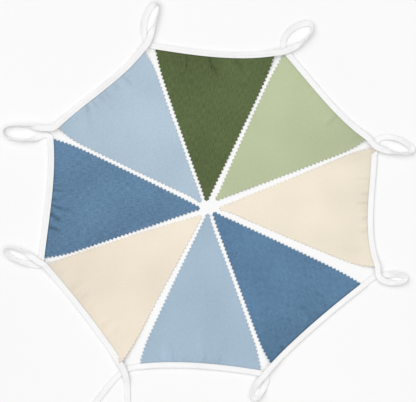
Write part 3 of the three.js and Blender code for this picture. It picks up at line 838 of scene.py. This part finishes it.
def make_tape(route):
    """The tape as one closed, folded strip."""
    across, through = fold_section(route)
    run_across = np.gradient(across, axis=1)
    run_through = np.gradient(through, axis=1)
    size = np.hypot(run_across, run_through) / (TAPE_LAYER / 2)
    outer = on_tape(route, across + run_through / size, through - run_across / size)
    inner = on_tape(route, across - run_through / size, through + run_across / size)
    rings = np.concatenate((outer, inner[:, ::-1]), axis=1)

    stations, corners = rings.shape[:2]
    ids, walls = ring_walls(stations, corners)
    left = np.arange(corners // 2 - 1)
    right = corners - 1 - left
    cap = np.stack((left, right, right - 1, left + 1), axis=-1)
    faces = np.vstack((walls, cap, cap[:, ::-1] + ids[-1, 0]))

    round_fold = run_lengths(np.array(FOLD)[:, :2])
    across_cloth = np.concatenate((round_fold, round_fold[::-1]))
    weave = np.stack(np.broadcast_arrays(across_cloth[None, :], route["along"][:, None], 0.0), axis=-1)
    return make_mesh("binding_tape", rings.reshape(-1, 3), faces, weave.reshape(-1, 3), len(walls))


def resampled(route, along):
    """The route's values at other distances along it."""
    made = {"along": along}
    for key in ("under", "lean", "open"):
        made[key] = np.interp(along, route["along"], route[key])
    for key in ("points", "ahead"):
        made[key] = np.column_stack([np.interp(along, route["along"], route[key][:, k]) for k in (0, 1)])
    return made


def stitch_points(route, middle, side, row):
    """The points of one stitch, a short tube round its middle. side is 1 on the upper layer and -1 on the
    lower one, and row is the layer's row of FOLD at the stitches."""
    piece = resampled(route, middle + STITCH_RINGS[:, 0] * STITCH_LENGTH)
    height = row[1] * piece["open"] + row[2] * (1 - piece["open"])
    height = height + side * (TAPE_LAYER / 2 + THREAD / 2 + STITCH_RINGS[:, 2] * THREAD)
    size = THREAD * STITCH_RINGS[:, 1]
    across = STITCH_LINE + np.multiply.outer(size, np.cos(HEXAGON))
    through = height[:, None] + np.multiply.outer(size, np.sin(HEXAGON))
    return on_tape(piece, across, through).reshape(-1, 3)


def stitch_faces():
    """The walls of one stitch and its two ends, as four-sided faces."""
    ids, walls = ring_walls(len(STITCH_RINGS), len(HEXAGON))
    end = np.array(((0, 3, 2, 1), (0, 5, 4, 3)))
    return np.vstack((walls, end, end[:, ::-1] + ids[-1, 0]))


def make_stitches(route):
    """White stitches along the tape's inner edge, on its upper and lower side, as one mesh."""
    middles = np.arange(STITCH_PITCH, route["along"][-1] - STITCH_PITCH, STITCH_PITCH)
    lower, upper = (row for row in FOLD if row[0] == STITCH_LINE)
    stitches = [stitch_points(route, middle, 1, upper) for middle in middles]
    stitches += [stitch_points(route, middle, -1, lower) for middle in middles]
    points = np.vstack(stitches)
    firsts = np.arange(len(stitches)) * len(stitches[0])
    faces = np.vstack([stitch_faces() + first for first in firsts])
    return make_mesh("tape_stitches", points, faces, points)


# Materials


def albedo(colour):
    """A colour given as screen levels, 0 to 255, as the share of light that it sends back."""
    share = np.array(colour) / 255
    linear = np.where(share <= 0.04045, share / 12.92, ((share + 0.055) / 1.055) ** 2.4)
    return (*linear.tolist(), 1)


class Nodes:
    """A material's nodes, added one after another."""

    def __init__(self, name):
        self.material = bpy.data.materials.new(name)
        self.material.use_nodes = True
        self.tree = self.material.node_tree
        self.shader = self.tree.nodes["Principled BSDF"]

    def add(self, kind, inputs=(), **settings):
        """A new node with values or links for its inputs, and its settings."""
        node = self.tree.nodes.new(kind)
        for key, value in settings.items():
            setattr(node, key, value)
        for socket, value in dict(inputs).items():
            self.give(node.inputs[socket], value)
        return node

    def give(self, socket, value):
        """A link or a constant for a socket."""
        if isinstance(value, bpy.types.NodeSocket):
            self.tree.links.new(value, socket)
        else:
            socket.default_value = value

    def surface(self, inputs):
        """The material, with values or links for its shader's own sockets."""
        for socket, value in inputs.items():
            self.give(self.shader.inputs[socket], value)
        return self.material

    def math(self, operation, first, second=0.0):
        """The result of one operation on two values."""
        return self.add("ShaderNodeMath", {0: first, 1: second}, operation=operation).outputs[0]

    def weave_places(self):
        """Each point's place in its cloth, with a pennant's trend and painted shade and light as its third
        value.
        """
        return self.add("ShaderNodeAttribute", attribute_name="weave").outputs["Vector"]

    def bump(self, height, strength, distance):
        """The normal of a bump that is distance millimetres deep for each 1 of height."""
        relief = {"Height": height, "Strength": strength, "Distance": distance * MM}
        return self.add("ShaderNodeBump", relief).outputs["Normal"]

    def roughness(self, value, least, most):
        """A roughness that follows a value from 0 to 1."""
        spread = {"Value": value, "To Min": least, "To Max": most}
        return self.add("ShaderNodeMapRange", spread).outputs["Result"]

    def noise(self, places, stretch, shift, detail=2.0):
        """Noise from 0 to 1 whose lumps are stretch wide and long, in the unit of places: millimetres in a
        cloth's weave, and metres on the floor."""
        scale = (1 / stretch[0], 1 / stretch[1], 0)
        mapping = {"Vector": places, "Scale": scale, "Location": (shift, shift, 0)}
        moved = self.add("ShaderNodeMapping", mapping)
        lumps = {"Vector": moved.outputs[0], "Scale": 1.0, "Detail": detail, "Roughness": 0.5}
        soft = self.add("ShaderNodeTexNoise", lumps).outputs["Fac"]
        usual = {"Value": soft, "From Min": USUAL_NOISE[0], "From Max": USUAL_NOISE[1]}
        return self.add("ShaderNodeMapRange", usual).outputs["Result"]

    def blend(self, layers):
        """The sum of layers, each a value from 0 to 1 and how far it moves the sum either way from 0."""
        total = -sum(share for value, share in layers)
        for value, share in layers:
            layer = {0: value, 1: 2 * share, 2: total}
            total = self.add("ShaderNodeMath", layer, operation="MULTIPLY_ADD").outputs[0]
        return total

    def shades(self, shade, colour, darker, lighter):
        """The colour made darker or lighter by a shade from -darker to lighter, as shares of it."""
        base = np.array(albedo(colour)[:3])
        lighter = min(lighter, BRIGHTEST / base.max() - 1)
        place = {"Value": shade, "From Min": -darker, "From Max": lighter}
        factor = self.add("ShaderNodeMapRange", place).outputs["Result"]
        ramp = self.add("ShaderNodeValToRGB", {"Fac": factor})
        ends = ramp.color_ramp.elements
        ends[0].color = (*(base * (1 - darker)).tolist(), 1)
        ends[1].color = (*(base * (1 + lighter)).tolist(), 1)
        return ramp.outputs["Color"]


def plain_weave(nodes, places, pitch, turn=0.0):
    """The height of a plain weave, 0 to 1: threads that pass over and under each other."""
    turned = nodes.add("ShaderNodeMapping", {"Vector": places, "Rotation": (0, 0, turn)}).outputs[0]
    parts = nodes.add("ShaderNodeSeparateXYZ", {0: turned})
    step = math.pi / pitch
    over = nodes.math("SINE", nodes.math("MULTIPLY", parts.outputs[0], step))
    under = nodes.math("SINE", nodes.math("MULTIPLY", parts.outputs[1], step))
    return nodes.math("MULTIPLY_ADD", nodes.math("MULTIPLY", over, under), 0.5)


def cloth_material(pennant, number):
    """Woven cloth: threads, lumps and patches of other shades, the trend and the painted shade and light
    that each point carries, a weave, and a soft nap.
    """
    cloth = CLOTHS[pennant["cloth"]]
    nodes = Nodes(pennant["name"].replace("pennant", "cloth"))
    places = nodes.weave_places()
    layers = []
    for layer, stretch, apart, detail in CLOTH_NOISE:
        noise = nodes.noise(places, stretch, PENNANT_SHIFT * number + apart, detail)
        layers.append((noise, cloth[layer]))
    along = layers[0][0]
    mixed = nodes.blend(layers)
    # The places' third value, the trend with painted shade and light, is added to the noise
    shade = nodes.math("ADD", mixed, nodes.add("ShaderNodeSeparateXYZ", {0: places}).outputs[2])
    slubs = nodes.math("MULTIPLY", mixed, SLUB_SHARE / sum(share for value, share in layers))
    weave = plain_weave(nodes, places, cloth["pitch"])
    height = nodes.math("ADD", nodes.math("MULTIPLY", weave, WEAVE_SHARE), slubs)
    return nodes.surface({
        "Base Color": nodes.shades(shade, pennant["colour"], DARKER, LIGHTER),
        "Roughness": nodes.roughness(along, least=0.82, most=0.98),
        "Normal": nodes.bump(height, strength=0.8, distance=cloth["grain"]),
        "Specular IOR Level": 0.2,
        "Sheen Weight": 0.12,
        "Sheen Roughness": 0.5,
    })


def tape_material():
    """White binding tape cut on the bias, so its fine weave runs at 45 degrees."""
    nodes = Nodes("tape_white")
    places = nodes.weave_places()
    weave = plain_weave(nodes, places, TAPE_PITCH, turn=math.pi / 4)
    slubs = nodes.noise(places, stretch=(3, 9), shift=5.0, detail=3.0)
    patches = nodes.noise(places, stretch=(30, 50), shift=9.0)
    height = nodes.math("ADD", nodes.math("MULTIPLY", weave, WEAVE_SHARE), slubs)
    shade = nodes.blend([(patches, TAPE_SHADE)])
    return nodes.surface({
        "Base Color": nodes.shades(shade, TAPE_WHITE, TAPE_SHADE, TAPE_SHADE),
        "Roughness": nodes.roughness(slubs, least=0.7, most=0.9),
        "Normal": nodes.bump(height, strength=0.7, distance=0.05),
        "Specular IOR Level": 0.3,
        "Sheen Weight": 0.1,
    })


def thread_material():
    """White sewing thread with its twist."""
    nodes = Nodes("thread_white")
    twist = nodes.noise(nodes.weave_places(), stretch=(0.12, 0.3), shift=3.0)
    shade = nodes.blend([(twist, THREAD_SHADE)])
    return nodes.surface({
        "Base Color": nodes.shades(shade, THREAD_WHITE, THREAD_SHADE, THREAD_SHADE),
        "Roughness": 0.6,
        "Normal": nodes.bump(twist, strength=0.8, distance=0.05),
    })


def floor_material():
    """A plain pale floor."""
    nodes = Nodes("floor_pale")
    places = nodes.add("ShaderNodeTexCoord").outputs["Object"]
    patches = nodes.noise(places, stretch=(0.4, 0.4), shift=2.0)
    shade = nodes.blend([(patches, FLOOR_SHADE)])
    return nodes.surface({
        "Base Color": nodes.shades(shade, FLOOR_WHITE, FLOOR_SHADE, FLOOR_SHADE),
        "Roughness": 0.9,
        "Specular IOR Level": 0.1,
    })


# Floor, light and camera


def make_floor():
    """A flat square that reaches past every view."""
    mesh = bpy.data.meshes.new("floor")
    corners = [(x * FLOOR_HALF, y * FLOOR_HALF, 0) for x, y in ((-1, -1), (1, -1), (1, 1), (-1, 1))]
    mesh.from_pydata(corners, [], ((0, 1, 2, 3),))
    mesh.materials.append(floor_material())
    floor = bpy.data.objects.new("floor", mesh)
    bpy.context.scene.collection.objects.link(floor)


def make_light():
    """A pale sky all round, a broad light from above, and a smaller soft one from the upper left."""
    world = bpy.data.worlds.new("studio")
    world.use_nodes = True
    world.node_tree.nodes["Background"].inputs["Color"].default_value = (1, 1, 1, 1)
    world.node_tree.nodes["Background"].inputs["Strength"].default_value = SKY
    bpy.context.scene.world = world
    for name, strength, spread, tilt in SUNS:
        lamp = bpy.data.lights.new(name, "SUN")
        lamp.energy = strength
        lamp.angle = math.radians(spread)
        light = bpy.data.objects.new(name, lamp)
        light.rotation_euler = (math.radians(tilt), 0, math.radians(SUN_HEADING))
        bpy.context.scene.collection.objects.link(light)


def make_camera():
    """Straight above the middle of the photograph's frame, with a long lens."""
    view_middle = (WHEEL_MIDDLE[0], WHEEL_MIDDLE[1] + VIEW_SHIFT)
    lens = bpy.data.cameras.new("camera")
    lens.sensor_width = SENSOR
    lens.lens = lens.sensor_width * CAMERA_HEIGHT / VIEW_WIDTH
    camera = bpy.data.objects.new("camera", lens)
    camera.location = (view_middle[0] * MM, view_middle[1] * MM, CAMERA_HEIGHT)
    bpy.context.scene.collection.objects.link(camera)
    bpy.context.scene.camera = camera
    bpy.context.scene.view_settings.view_transform = "Standard"


# The bunting

make_camera()
make_light()
make_floor()

for number, pennant in enumerate(PENNANTS):
    cloth = make_pennant(number)
    cloth.data.materials.append(cloth_material(pennant, number))
    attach(cloth, "root")
    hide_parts(pennant["name"])

route = tape_route()
tape = make_tape(route)
tape.data.materials.append(tape_material())
stitches = make_stitches(route)
stitches.data.materials.append(thread_material())
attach(tape, "root")
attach(stitches, "root")
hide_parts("tape")
